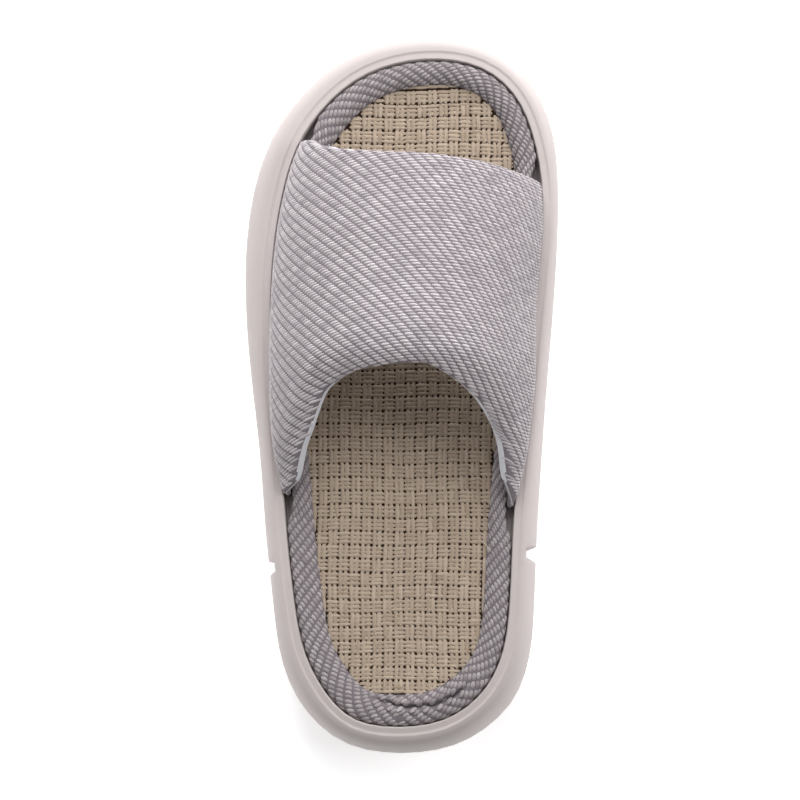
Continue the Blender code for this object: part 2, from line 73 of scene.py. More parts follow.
lens = bpy.data.cameras.new("camera")
lens.sensor_width = SENSOR_MM
lens.lens = CAMERA_DISTANCE_MM / (MM_PER_DOT * PICTURE_DOTS) * SENSOR_MM
lens.clip_start = 0.1
lens.clip_end = 10
camera = bpy.data.objects.new("camera", lens)
bpy.context.scene.collection.objects.link(camera)
ahead = (CAMERA_AIM - CAMERA_PLACE).normalized()
right = ahead.cross(Vector((0, 1, 0))).normalized()
up = right.cross(ahead)
turn = Matrix((right, up, -ahead)).transposed().to_4x4()
camera.matrix_world = Matrix.Translation(CAMERA_PLACE) @ turn
bpy.context.scene.camera = camera
print("lens, mm:", round(lens.lens, 1))

# %% [markdown]
# Materials are node trees, and three helpers keep them short. Colours are written as they look on a
# screen, in sRGB, and Blender computes with linear light, so one function turns the one into the
# other. A second adds a node, fills its settings and links its inputs in one line. A third makes a
# material and sets what is the same all over it.

# %% Helpers for materials
def linear(hex_colour):
    """The linear colour, with full opacity, of an sRGB hex value such as D8D0C8."""
    shares = [int(hex_colour[i : i + 2], 16) / 255 for i in (0, 2, 4)]
    return (*(s / 12.92 if s <= 0.04045 else ((s + 0.055) / 1.055) ** 2.4 for s in shares), 1.0)


def add_node(tree, kind, inputs=None, **settings):
    """A new node: settings are its own fields, and each input is a fixed value or another's output."""
    made = tree.nodes.new(kind)
    for name, value in settings.items():
        setattr(made, name, value)
    for socket, value in (inputs or {}).items():
        if isinstance(value, bpy.types.NodeSocket):
            tree.links.new(value, made.inputs[socket])
        else:
            made.inputs[socket].default_value = value
    return made


def new_material(name, fixed):
    """A material, its node tree and its Principled shader, with the fixed sockets set."""
    made = bpy.data.materials.new(name)
    made.use_nodes = True
    shader = made.node_tree.nodes["Principled BSDF"]
    for socket, value in fixed.items():
        shader.inputs[socket].default_value = value
    return made, made.node_tree, shader


print("white in linear light:", linear("FFFFFF")[:3])

# %% [markdown]
# The floor and the light are those of a product photographer: a white table lit from below, which
# brightens the low side of the sole, and large soft lamps beyond the toe, at both sides and
# overhead. None stands behind the heel, so the back of the sole is its darkest part. The lamps are
# large because a small one would draw a hard line under every yarn. The floor lies a hair below the
# sole, since two faces at one height would flicker through each other.

# %% Floor and light
FLOOR_SIZE = 6.0
FLOOR_GAP = 0.2 * MM
ROOM_STRENGTH = 0.0
TABLE_GLOW = 0.5

# Name, place in metres, width and power of each lamp
LAMPS = (
    ("toe_lamp", (0.0, 1.3, 0.5), 1.0, 21.0),
    ("near_toe_lamp", (0.0, 0.5, 0.7), 0.5, 2.7),
    ("high_toe_lamp", (0.0, 0.75, 1.5), 1.0, 3.4),
    ("inner_lamp", (1.35, 0.1, 0.85), 1.0, 12.6),
    ("low_outer_lamp", (-1.2, -0.3, 0.3), 0.8, 7.1),
    ("overhead_lamp", (0.0, 0.0, 1.9), 1.6, 5.6),
)

floor_mesh = bmesh.new()
bmesh.ops.create_grid(floor_mesh, x_segments=1, y_segments=1, size=FLOOR_SIZE / 2)
bmesh.ops.translate(floor_mesh, verts=floor_mesh.verts, vec=(0, 0, -FLOOR_GAP))
floor_data = bpy.data.meshes.new("floor")
floor_mesh.to_mesh(floor_data)
floor_mesh.free()
floor = bpy.data.objects.new("floor", floor_data)
bpy.context.scene.collection.objects.link(floor)

# Opal acrylic: matte, and lit from below
acrylic = {
    "Base Color": linear("FAFAFA"),
    "Roughness": 0.9,
    "Emission Color": (1.0, 1.0, 1.0, 1.0),
    "Emission Strength": TABLE_GLOW,
}
table, _, _ = new_material("backlit_white_acrylic", acrylic)
floor_data.materials.append(table)

room = bpy.data.worlds.new("white_room")
room.use_nodes = True
room.node_tree.nodes["Background"].inputs["Color"].default_value = (1.0, 1.0, 1.0, 1.0)
room.node_tree.nodes["Background"].inputs["Strength"].default_value = ROOM_STRENGTH
bpy.context.scene.world = room
bpy.context.scene.view_settings.view_transform = "Standard"


def soft_lamp(name, place, size, power):
    """A square lamp aimed at the shoe."""
    data = bpy.data.lights.new(name, "AREA")
    data.size = size
    data.energy = power
    made = bpy.data.objects.new(name, data)
    aim = (-place).to_track_quat("-Z", "Y").to_matrix().to_4x4()
    made.matrix_world = Matrix.Translation(place) @ aim
    bpy.context.scene.collection.objects.link(made)


for lamp_name, lamp_place, lamp_size, lamp_power in LAMPS:
    soft_lamp(lamp_name, Vector(lamp_place), lamp_size, lamp_power)
print("lamps:", [lamp[0] for lamp in LAMPS])

# %% [markdown]
# The sole is moulded in one piece from closed-cell foam. Its CAD solid has every form that shows:
# the flared side, the bead along the edge, the flat rim behind it, the notches and the tread. So it
# is copied, and not modelled again. The CAD mesh is loose triangles, so the copy is sewn together
# first, and then shaded smooth except at real corners. A narrow bevel softens what the mould leaves
# sharp.

# %% Foam sole
SEW_DISTANCE = 1e-5
FOAM_CORNER = math.radians(42)
MOULD_RADIUS = 0.0005


def sewn_copy(node):
    """The mesh of a CAD node with its loose triangles joined."""
    mesh = bmesh.new()
    mesh.from_mesh(bpy.data.objects[node].data)
    bmesh.ops.remove_doubles(mesh, verts=mesh.verts, dist=SEW_DISTANCE)
    return mesh


def add_piece(name, mesh, materials, node=None, smooth_under=None):
    """An object from a bmesh, at the origin, which rides on the shoe and may stand for a CAD node."""
    data = bpy.data.meshes.new(name)
    mesh.to_mesh(data)
    mesh.free()
    data.shade_smooth()
    if smooth_under:
        data.set_sharp_from_angle(angle=smooth_under)
    for one in materials:
        data.materials.append(one)
    made = bpy.data.objects.new(name, data)
    bpy.context.scene.collection.objects.link(made)
    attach(made, "root")
    if node:
        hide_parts(node)
    print(name, "faces:", len(data.polygons))
    return made


# Expanded foam from a mould: matte, very slightly waxy, warm off-white
matte_foam = {"Roughness": 0.62, "Specular IOR Level": 0.3}
foam, foam_tree, foam_shader = new_material("moulded_foam", matte_foam)
foam_place = add_node(foam_tree, "ShaderNodeTexCoord").outputs["Object"]
cloud = add_node(foam_tree, "ShaderNodeTexNoise", {"Vector": foam_place, "Scale": 25.0, "Detail": 2.0})
foam_tint = add_node(
    foam_tree,
    "ShaderNodeMix",
    {0: cloud.outputs["Fac"], 6: linear("BBB2B0"), 7: linear("C3BAB8")},
    data_type="RGBA",
)
skin = add_node(foam_tree, "ShaderNodeTexNoise", {"Vector": foam_place, "Scale": 1400.0, "Detail": 2.0})
foam_bump = add_node(
    foam_tree, "ShaderNodeBump", {"Height": skin.outputs["Fac"], "Strength": 0.12, "Distance": 0.0002}
)
foam_tree.links.new(foam_tint.outputs[2], foam_shader.inputs["Base Color"])
foam_tree.links.new(foam_bump.outputs["Normal"], foam_shader.inputs["Normal"])

sole = add_piece("sole", sewn_copy("outsole"), [foam], node="outsole", smooth_under=FOAM_CORNER)
rounding = sole.modifiers.new("mould radius", "BEVEL")
rounding.width = MOULD_RADIUS
rounding.segments = 2
rounding.limit_method = "ANGLE"
rounding.angle_limit = FOAM_CORNER

# %% [markdown]
# The cloth pieces follow lines that the sole sets: the ridge of its rim in plan, and its height
# along the foot. Both could be read from the CAD mesh, but they would come back as short straight
# runs, and yarns laid on them would show the joints. So the same small tables that shaped the CAD
# are repeated here, with a curve through them, and cloth can be laid as finely as it needs.

# %% Lines of the last
LENGTH = float(sole_high[1] - sole_low[1])
BALL_WIDTH = float(sole_high[0] - sole_low[0])
HEEL_HEIGHT = 0.035
INSTEP_HEIGHT = 0.081
CROWN_OFFSET = 0.010
SOLE_FLARE = 0.010
RIM_WIDTH = 0.0037
CUP_DEPTH = 0.009
CUP_DRAFT = 0.0002
CUP_CORNER = 0.0012
CLEARANCE = 0.0003
INSOLE_THICKNESS = 0.006
BINDING_WIDTH = 0.0105
BINDING_RISE = 0.0036
BINDING_LAP = 0.002
FOOT_WALL = 0.0024
STAND_BACK_MARGIN = 0.004
STAND_BACK_EASE = 0.009
SPLINE_STEPS = 40
SIDE_POINTS = 200

# Widest outline: stations are shares of LENGTH from the heel, widths shares of BALL_WIDTH, and
# flares shares of SOLE_FLARE
OUTLINE = (
    ("station", "lateral", "medial", "lateral_flare", "medial_flare"),
    (0.015, 0.182, 0.186, 0.68, 0.66),
    (0.043, 0.271, 0.286, 0.76, 0.68),
    (0.070, 0.321, 0.343, 0.80, 0.70),
    (0.126, 0.376, 0.396, 0.72, 0.62),
    (0.209, 0.405, 0.416, 0.60, 0.53),
    (0.293, 0.426, 0.424, 0.58, 0.52),
    (0.405, 0.447, 0.440, 0.55, 0.46),
    (0.517, 0.477, 0.459, 0.60, 0.34),
    (0.630, 0.499, 0.481, 0.79, 0.29),
    (0.715, 0.497, 0.493, 0.92, 0.23),
    (0.800, 0.467, 0.496, 0.97, 0.29),
    (0.857, 0.420, 0.484, 0.92, 0.44),
    (0.914, 0.335, 0.442, 0.88, 0.54),
    (0.971, 0.179, 0.327, 0.82, 0.62),
)

# Ends of that outline: station, place across as a share of BALL_WIDTH, and flare
HEEL_POINT = (0.0, 0.0, 0.65)
TOE_POINT = (1.0, 0.077, 0.75)

# Height of the ridge as a share of HEEL_HEIGHT
RIDGE_HEIGHT = (
    ("station", "ridge"),
    (0.00, 1.000),
    (0.07, 0.995),
    (0.22, 0.950),
    (0.34, 0.880),
    (0.45, 0.815),
    (0.60, 0.770),
    (0.76, 0.765),
    (0.86, 0.790),
    (0.94, 0.835),
    (1.00, 0.890),
)

# Width of the binding as a share of BINDING_WIDTH
BINDING = (
    ("station", "lateral", "medial"),
    (0.00, 1.12, 1.12),
    (0.07, 1.06, 1.06),
    (0.15, 0.98, 0.90),
    (0.35, 0.96, 0.86),
    (0.60, 0.94, 0.86),
    (0.86, 1.02, 0.86),
    (0.93, 0.94, 0.85),
    (1.00, 0.79, 0.79),
)

# Front and throat edge of the upper as stations, from the lateral rim (-1) to the medial rim (1)
UPPER_CUT = (
    ("across", "front", "throat"),
    (-1.00, 0.848, 0.353),
    (-0.80, 0.848, 0.366),
    (-0.60, 0.836, 0.425),
    (-0.45, 0.828, 0.488),
    (-0.25, 0.821, 0.513),
    (0.00, 0.816, 0.519),
    (0.22, 0.810, 0.502),
    (0.42, 0.803, 0.474),
    (0.60, 0.795, 0.433),
    (0.80, 0.790, 0.364),
    (1.00, 0.784, 0.335),
)


def column(table, name):
    """One named column of a table."""
    names, *rows = table
    return np.array([row[names.index(name)] for row in rows])


def smooth_rise(shares, values, at):
    """A curve through the table's values that never swings past them."""
    steps = np.diff(shares)
    slopes = np.diff(values) / steps
    tangents = np.zeros(len(values))
    product = slopes[1:] * slopes[:-1]
    total = np.where(product > 0, slopes[1:] + slopes[:-1], 1.0)
    tangents[1:-1] = np.where(product > 0, 2 * product / total, 0.0)
    tangents[0], tangents[-1] = slopes[0], slopes[-1]
    at = np.clip(at, shares[0], shares[-1])
    cell = np.clip(np.searchsorted(shares, at, side="right") - 1, 0, len(steps) - 1)
    part = (at - shares[cell]) / steps[cell]
    square, cube = part**2, part**3
    start = (2 * cube - 3 * square + 1) * values[cell]
    start_pull = (cube - 2 * square + part) * steps[cell] * tangents[cell]
    end = (3 * square - 2 * cube) * values[cell + 1]
    end_pull = (cube - square) * steps[cell] * tangents[cell + 1]
    return start + start_pull + end + end_pull


def read(table, name, at):
    """A named column where the table's first column has the value at."""
    return smooth_rise(column(table, table[0][0]), column(table, name), at)


def station_y(station):
    return (station - 0.5) * LENGTH


def station_of(y):
    return y / LENGTH + 0.5


def ridge_height(y):
    return HEEL_HEIGHT * read(RIDGE_HEIGHT, "ridge", station_of(y))


def cup_floor(y):
    return ridge_height(y) - CUP_DEPTH


def linen_height(y):
    return cup_floor(y) + CLEARANCE + INSOLE_THICKNESS


heel_ball_toe = station_y(np.array([0, 0.6, 1]))
print("ridge at heel, ball and toe, mm:", np.round(ridge_height(heel_ball_toe) / MM, 1))

# %% [markdown]
# A closed curve through the outline's points gives the plan of the sole. The points are cut into
# runs of equal length, so that a pattern laid along them keeps its scale, and each point gets a
# normal that faces into the shoe. Every other line in plan, such as the edge of the binding, is the
# ridge moved inwards.

# %% Plan of the ridge
def closed_spline(points, per_span):
    """A closed cubic through the points, with equal bending on both sides of each."""
    following = np.roll(points, -1, axis=0)
    span = np.linalg.norm((following - points)[:, :2], axis=1)
    before = np.roll(span, 1)
    count = len(points)
    system = np.zeros((count, count))
    slope = (following - points) / span[:, None] ** 2
    wanted = 3 * (slope + np.roll(slope, 1, axis=0))
    for i in range(count):
        system[i, i - 1] = 1 / before[i]
        system[i, i] = 2 / before[i] + 2 / span[i]
        system[i, (i + 1) % count] = 1 / span[i]
    tangents = np.linalg.solve(system, wanted)
    part = np.linspace(0, 1, per_span, endpoint=False)[None, :, None]
    square, cube = part**2, part**3
    reach = span[:, None, None]
    curve = (2 * cube - 3 * square + 1) * points[:, None]
    curve = curve + (cube - 2 * square + part) * reach * tangents[:, None]
    curve = curve + (3 * square - 2 * cube) * following[:, None]
    curve = curve + (cube - square) * reach * np.roll(tangents, -1, axis=0)[:, None]
    return curve.reshape(-1, points.shape[1])


def even_run(route, pieces):
    """The route cut into pieces of equal length, without its last point."""
    steps = np.linalg.norm(np.diff(route[:, :2], axis=0), axis=1)
    along = np.concatenate([[0], np.cumsum(steps)])
    wanted = np.linspace(0, along[-1], pieces, endpoint=False)
    return np.stack([np.interp(wanted, along, route[:, i]) for i in range(route.shape[1])], axis=1)


def widest_outline():
    """Plan points and flares, from the heel along the lateral side to the toe and back."""
    y = station_y(column(OUTLINE, "station"))
    sides = []
    for side, sign in (("lateral", -1), ("medial", 1)):
        x = sign * BALL_WIDTH * column(OUTLINE, side)
        flare = SOLE_FLARE * column(OUTLINE, side + "_flare")
        sides.append(np.stack([x, y, flare], axis=1))
    ends = []
    for station, across, flare in (HEEL_POINT, TOE_POINT):
        ends.append([across * BALL_WIDTH, station_y(station), flare * SOLE_FLARE])
    lateral, medial = sides
    curve = closed_spline(np.concatenate([[ends[0]], lateral, [ends[1]], medial[::-1]]), SPLINE_STEPS)
    low, high = curve[:, :2].min(axis=0), curve[:, :2].max(axis=0)
    curve[:, :2] -= (low + high) / 2
    curve[:, :2] *= np.array([BALL_WIDTH, LENGTH]) / (high - low)
    toe = SPLINE_STEPS * (len(lateral) + 1)
    rounded = np.concatenate([curve, curve[:1]])
    halves = (rounded[: toe + 1], rounded[toe:])
    loop = np.concatenate([even_run(half, SIDE_POINTS) for half in halves])
    return loop[:, :2], loop[:, 2]


def inward(loop):
    """Unit normals of a plan loop, pointing into it."""
    along = np.roll(loop, -1, axis=0) - np.roll(loop, 1, axis=0)
    turned = np.stack([along[:, 1], -along[:, 0]], axis=1)
    return turned / np.linalg.norm(turned, axis=1)[:, None]


OUTER, FLARE = widest_outline()
RIDGE = OUTER + inward(OUTER) * FLARE[:, None]
CUP_INSET = RIM_WIDTH + CUP_DRAFT
ON_LATERAL = np.arange(len(RIDGE)) <= SIDE_POINTS


def inside_ridge(inset):
    """The ridge moved into the shoe by one inset, or by one for each of its points."""
    return RIDGE + inward(RIDGE) * np.broadcast_to(inset, len(RIDGE))[:, None]


def eased_step(lengths, ease):
    """A soft step from 0 to 1, as the lengths go from 0 to ease."""
    part = np.clip(lengths / ease, 0, 1)
    return part**2 * (3 - 2 * part)


def binding_insets():
    """Insets of the binding's outer side, which stands back for the upper's feet, and inner edge."""
    y = RIDGE[:, 1]
    fronts, throats = column(UPPER_CUT, "front"), column(UPPER_CUT, "throat")
    front = station_y(np.where(ON_LATERAL, fronts[0], fronts[-1])) + STAND_BACK_MARGIN
    throat = station_y(np.where(ON_LATERAL, throats[0], throats[-1])) - STAND_BACK_MARGIN
    beside = eased_step(y - throat + STAND_BACK_EASE, STAND_BACK_EASE)
    beside = beside * eased_step(front + STAND_BACK_EASE - y, STAND_BACK_EASE)
    lateral = read(BINDING, "lateral", station_of(y))
    medial = read(BINDING, "medial", station_of(y))
    width = np.where(ON_LATERAL, lateral, medial)
    seat = CUP_INSET + CLEARANCE
    return seat + (FOOT_WALL + CLEARANCE) * beside, seat + BINDING_WIDTH * width


BINDING_OUTER, BINDING_INNER = binding_insets()
print("ridge round the shoe, mm:", round(np.linalg.norm(np.diff(RIDGE, axis=0), axis=1).sum() / MM))

# %% [markdown]
# All the cloth here is woven, and its yarns are thick enough to see. A bump texture could fake
# them, but from the side a fake goes flat and its shadows are wrong. So each float, the stretch
# where a yarn passes over the cloth, is a real small body: one closed capsule from a sphere, with
# blunt ends that dive under. One function copies it onto thousands of places, each with its own
# length, width and tilt, and keeps a random tone for the material.

# %% Yarn floats
YARN_SIDES = 6
YARN_RINGS = 4
FLOAT_TRIANGLES = 2 * YARN_SIDES * (YARN_RINGS - 1)
RANDOM_SEED = 7


def yarn_float(bluntness, dive):
    """A capsule one unit long on X, wide on Y and high on Z, whose ends dive."""
    mesh = bmesh.new()
    bmesh.ops.create_uvsphere(mesh, u_segments=YARN_SIDES, v_segments=YARN_RINGS, radius=0.5)
    quarter = Matrix.Rotation(math.pi / 2, 3, "Y")
    bmesh.ops.rotate(mesh, verts=mesh.verts, cent=(0, 0, 0), matrix=quarter)
    for vert in mesh.verts:
        along = min(abs(vert.co.x) * 2, 1.0)
        round_end = math.sqrt(max(1 - along**2, 1e-12))
        blunt_end = (1 - along**bluntness) ** (1 / bluntness)
        vert.co.y *= blunt_end / round_end
        vert.co.z *= blunt_end / round_end
        vert.co.z -= dive * along**2
    return mesh


def lay_yarns(name, yarn, middles, along, across, out, tones, material):
    """One float on each middle, stretched along three vectors; tones go to the material."""
    shape = np.array([vert.co for vert in yarn.verts])
    faces = [[vert.index for vert in face.verts] for face in yarn.faces]
    yarn.free()
    turned = np.einsum("ij,ij->i", np.cross(along, across), out) < 0
    across = np.where(turned[:, None], -across, across)
    frames = np.stack([along, across, out], axis=1)
    points = middles[:, None] + shape @ frames
    data = bpy.data.meshes.new(name)
    starts = range(0, len(middles) * len(shape), len(shape))
    every = [[i + start for i in face] for start in starts for face in faces]
    data.from_pydata(points.reshape(-1, 3).tolist(), [], every)
    data.shade_smooth()
    data.materials.append(material)
    tone = data.attributes.new("tone", "FLOAT", "POINT")
    tone.data.foreach_set("value", np.repeat(tones, len(shape)).astype(np.float32))
    made = bpy.data.objects.new(name, data)
    bpy.context.scene.collection.objects.link(made)
    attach(made, "root")
    print(name, "floats:", len(middles), "triangles:", len(middles) * FLOAT_TRIANGLES)
    return made


def yarn_material(name, dark, light, fibre_mm, sheen):
    """Spun yarn: its tone differs from float to float, and fine fibres break up its surface."""
    fixed = {"Roughness": 0.85, "Specular IOR Level": 0.2, "Sheen Weight": sheen}
    made, tree, shader = new_material(name, fixed)
    tone = add_node(tree, "ShaderNodeAttribute", attribute_name="tone").outputs["Fac"]
    place = add_node(tree, "ShaderNodeTexCoord").outputs["Object"]
    fibres = add_node(
        tree, "ShaderNodeTexNoise", {"Vector": place, "Scale": 1 / (fibre_mm * MM), "Detail": 2.0}
    )
    mixed = add_node(tree, "ShaderNodeMath", {0: tone, 1: fibres.outputs["Fac"]}, operation="ADD")
    share = add_node(
        tree, "ShaderNodeMath", {0: mixed.outputs[0], 1: 0.5}, operation="SUBTRACT", use_clamp=True
    )
    colour = add_node(
        tree, "ShaderNodeMix", {0: share.outputs[0], 6: linear(dark), 7: linear(light)}, data_type="RGBA"
    )
    bump = add_node(
        tree, "ShaderNodeBump", {"Height": fibres.outputs["Fac"], "Strength": 0.35, "Distance": 0.0003}
    )
    tree.links.new(colour.outputs[2], shader.inputs["Base Color"])
    tree.links.new(bump.outputs["Normal"], shader.inputs["Normal"])
    return made


def ground_material(name, colour):
    """Plain matte cloth of one colour; under floats it is set darker, as painted shade between them."""
    fixed = {"Base Color": linear(colour), "Roughness": 0.95, "Specular IOR Level": 0.1}
    made, tree, shader = new_material(name, fixed)
    place = add_node(tree, "ShaderNodeTexCoord").outputs["Object"]
    fibres = add_node(tree, "ShaderNodeTexNoise", {"Vector": place, "Scale": 1600.0, "Detail": 2.0})
    bump = add_node(
        tree, "ShaderNodeBump", {"Height": fibres.outputs["Fac"], "Strength": 0.4, "Distance": 0.0003}
    )
    tree.links.new(bump.outputs["Normal"], shader.inputs["Normal"])
    return made


random = np.random.default_rng(RANDOM_SEED)
print("one float has", FLOAT_TRIANGLES, "triangles")

# %% [markdown]
# The footbed is a board under coarse linen in a basket weave. In each cell of the weave either two
# warp yarns pass over, side by side, or three weft yarns do, like the squares of a chessboard, and
# the corners where four cells meet stay open as small holes. A texture of a chessboard would
# do from afar. Here each cell gets its own floats, on the top face of the CAD board, and under them
# the yarns of the other direction, a little lower, so that only the corners show the board. Its
# near-black colour is painted shade, for the darkness down in those holes.

# %% Linen footbed
CELL_ACROSS = 4.17 * MM
CELL_ALONG = 5.15 * MM
WARP_YARNS = 2
WEFT_YARNS = 3
WARP_WIDTH = 1.8 * MM
WEFT_WIDTH = 1.48 * MM
OVER_LENGTH = 1.32
UNDER_LENGTH = 1.35
BUNDLE = 0.89
LINEN_THICKNESS = 0.36 * MM
UNDER_DROP = 0.06 * MM
WAVE_LENGTH = 38 * MM
WAVE_HEIGHT = 0.3 * MM
COLUMN_TURN = 0.7
COLUMN_START = 1.0
COLUMN_SWAY = 0.8
COLUMN_SWAY_TURN = 0.4
ROW_TURN = 0.9
ROW_SWAY = 2.0
ROW_SWAY_TURN = 0.25
UNDER_BINDING = 0.2 * MM
LINEN_SEAT = 0.1 * MM
LINEN_STRAY = 0.06 * MM
LINEN_SKEW = 0.03
WIDTH_SPREAD = 0.06
HEIGHT_SPREAD = 0.1
LINEN_TONE_SPREAD = 0.12
BOARD_CORNER = math.radians(50)
ABOVE_SHOE = 0.2

board_mesh = sewn_copy("insole")
board_top = BVHTree.FromBMesh(board_mesh)

# Raw linen: thick, uneven yarn of a warm beige, over a board painted near black as the shade in the
# holes
linen_board_painted_shade = ground_material("linen_board_painted_shade", "2E2218")
linen_yarn = yarn_material("linen_yarn", "9A8876", "BFAE9C", fibre_mm=0.5, sheen=0.1)

board = add_piece("footbed_board", board_mesh, [linen_board_painted_shade], node="insole", smooth_under=BOARD_CORNER)


def inside_loop(points, loop):
    """Which plan points lie inside a closed loop, by counting the sides that a ray crosses."""
    x, y = points[:, 0, None], points[:, 1, None]
    ends = np.roll(loop, -1, axis=0)
    spans = (loop[None, :, 1] > y) != (ends[None, :, 1] > y)
    rise = np.where(spans, ends[None, :, 1] - loop[None, :, 1], 1.0)
    crossing = loop[None, :, 0] + (y - loop[None, :, 1]) / rise * (ends[None, :, 0] - loop[None, :, 0])
    return (spans & (x < crossing)).sum(axis=1) % 2 == 1


def linen_floats():
    """Middle in plan of each float, whether it is weft, its length, its width and its drop."""
    rows = []
    columns = int(BALL_WIDTH / CELL_ACROSS)
    cells = int(LENGTH / CELL_ALONG)
    for i in range(-columns // 2, columns // 2 + 1):
        for j in range(-cells // 2, cells // 2 + 1):
            x, y = i * CELL_ACROSS, j * CELL_ALONG
            over, under = (OVER_LENGTH, 0), (UNDER_LENGTH, UNDER_DROP)
            warp, weft = (over, under) if (i + j) % 2 == 1 else (under, over)
            for k in range(WARP_YARNS):
                offset = (k - (WARP_YARNS - 1) / 2) * CELL_ACROSS / WARP_YARNS * BUNDLE
                rows.append((x + offset, y, False, CELL_ALONG * warp[0], WARP_WIDTH, warp[1]))
            for k in range(WEFT_YARNS):
                offset = (k - (WEFT_YARNS - 1) / 2) * CELL_ALONG / WEFT_YARNS * BUNDLE
                rows.append((x, y + offset, True, CELL_ACROSS * weft[0], WEFT_WIDTH, weft[1]))
    return np.array(rows)


def wave(points):
    """The weave isn't straight: its rows and columns wander a little, in waves that don't repeat."""
    x, y = points[:, 0], points[:, 1]
    turn = 2 * math.pi / WAVE_LENGTH
    column_sway = COLUMN_SWAY * np.sin(turn * x * COLUMN_SWAY_TURN)
    row_sway = ROW_SWAY * np.sin(turn * y * ROW_SWAY_TURN)
    sideways = WAVE_HEIGHT * np.sin(turn * y * COLUMN_TURN + COLUMN_START + column_sway)
    lengthways = WAVE_HEIGHT * np.sin(turn * x * ROW_TURN + row_sway)
    return np.stack([x + sideways, y + lengthways], axis=1)


floats = linen_floats()
floats[:, :2] = wave(floats[:, :2]) + random.normal(0, LINEN_STRAY, (len(floats), 2))
linen_edge = inside_ridge(BINDING_INNER - UNDER_BINDING)
floats = floats[inside_loop(floats[:, :2], linen_edge)]
plan = floats[:, :2]
is_weft, float_length, float_width, drop = np.split(floats[:, 2:], 4, axis=1)
heights = []
for x, y in plan:
    hit = board_top.ray_cast(Vector((x, y, ABOVE_SHOE)), Vector((0, 0, -1)))
    heights.append(hit[0].z if hit[0] else linen_height(y))
middles = np.column_stack([plan, np.array(heights) + LINEN_SEAT - drop[:, 0]])
slope = (linen_height(plan[:, 1] + MM) - linen_height(plan[:, 1] - MM)) / (2 * MM)
lengthways = np.column_stack([np.zeros(len(floats)), np.ones(len(floats)), slope])
sideways = np.tile([1.0, 0.0, 0.0], (len(floats), 1))
upwards = np.tile([0.0, 0.0, LINEN_THICKNESS], (len(floats), 1))
skew = random.normal(0, LINEN_SKEW, (len(floats), 1))
along = np.where(is_weft, sideways + skew * lengthways, lengthways + skew * sideways)
along = along * float_length
across = np.where(is_weft, lengthways, sideways) * float_width
across = across * random.normal(1, WIDTH_SPREAD, (len(floats), 1))
upwards = upwards * random.normal(1, HEIGHT_SPREAD, (len(floats), 1))
tones = np.clip(random.normal(0.5, LINEN_TONE_SPREAD, len(floats)), 0, 1)
flat_yarn = yarn_float(bluntness=2.5, dive=0.3)
linen = lay_yarns("linen_yarns", flat_yarn, middles, along, across, upwards, tones, linen_yarn)

# %% [markdown]
# The binding is a strip of twill rolled over a foam cord, all round the footbed. A curve with a
# round bevel would be quick, but the real roll is flatter than it is wide, changes its width along
# the foot, and laps over itself at the heel. So it is a sheet of squares wrapped round its section,
# ring by ring. Its height comes from one function of the place in plan, which the yarns share.

# %% Twill binding
ROLL_ROWS = 44

# Height of the roll as a share of BINDING_RISE, by the share of the way from the rim to the linen
ROLL = (
    ("inset", "rise"),
    (0.00, 0.30),
    (0.03, 0.58),
    (0.09, 0.82),
    (0.20, 0.96),
    (0.40, 1.00),
    (0.64, 0.90),
    (0.84, 0.62),
    (0.95, 0.34),
    (1.00, 0.10),
)

LAP_WIDTH = 0.75 * MM
LAP_DEPTH = 2.2 * MM
LAP_END_SHARE = 0.18
YARN_SEAT = 0.35 * MM
CLOTH_SEW_DISTANCE = 2e-6
BINDING_CORNER = math.radians(60)

# Line in plan, in mm, where one end of the binding laps over the other
HEEL_LAP_MM = (
    (-10.3, -116.9),
    (-4.3, -118.7),
    (3.2, -120.4),
    (13.7, -119.6),
    (22.0, -115.5),
    (27.6, -110.7),
)
HEEL_LAP = np.array(HEEL_LAP_MM) * MM


def wrapped_sheet(grid, second=None):
    """A sheet of squares through a grid of points, sewn where its edges touch."""
    rows, columns = grid.shape[:2]
    mesh = bmesh.new()
    bmesh.ops.create_grid(mesh, x_segments=columns - 1, y_segments=rows - 1, size=1.0)
    for vert, point in zip(mesh.verts, grid.reshape(-1, 3)):
        vert.co = point
    if second is not None:
        for face, is_second in zip(mesh.faces, second.ravel()):
            face.material_index = int(is_second)
    bmesh.ops.remove_doubles(mesh, verts=mesh.verts, dist=CLOTH_SEW_DISTANCE)
    bmesh.ops.recalc_face_normals(mesh, faces=mesh.faces)
    return mesh


def distance_to(route, points):
    """Distance in plan from each point to a route of straight runs, and the share of the way there."""
    start, end = route[:-1], route[1:]
    run = end - start
    length = (run**2).sum(axis=1)
    offset = points[:, None] - start[None]
    part = np.clip((offset * run[None]).sum(axis=2) / length[None], 0, 1)
    away = np.linalg.norm(offset - part[:, :, None] * run[None], axis=2)
    nearest = away.argmin(axis=1)
    rows = np.arange(len(points))
    return away[rows, nearest], (nearest + part[rows, nearest]) / len(run)


def heel_lap_depth(points):
    """The fold where one end of the binding laps over the other: deepest in its middle."""
    away, share = distance_to(HEEL_LAP, points)
    ends = np.clip(np.minimum(share, 1 - share) / LAP_END_SHARE, 0, 1)
    return LAP_DEPTH * np.exp(-((away / LAP_WIDTH) ** 2)) * ends


def closed(loop):
    """The loop with its first point again at the end."""
    return np.concatenate([loop, loop[:1]])


binding_edges = [closed(inside_ridge(inset)) for inset in (BINDING_OUTER, BINDING_INNER)]


def binding_height(points, share):
    """Height of the roll's ground at points in plan, each a share of the way across the roll."""
    rise = BINDING_RISE * read(ROLL, "rise", share)
    return linen_height(points[:, 1]) + rise - YARN_SEAT - heel_lap_depth(points)


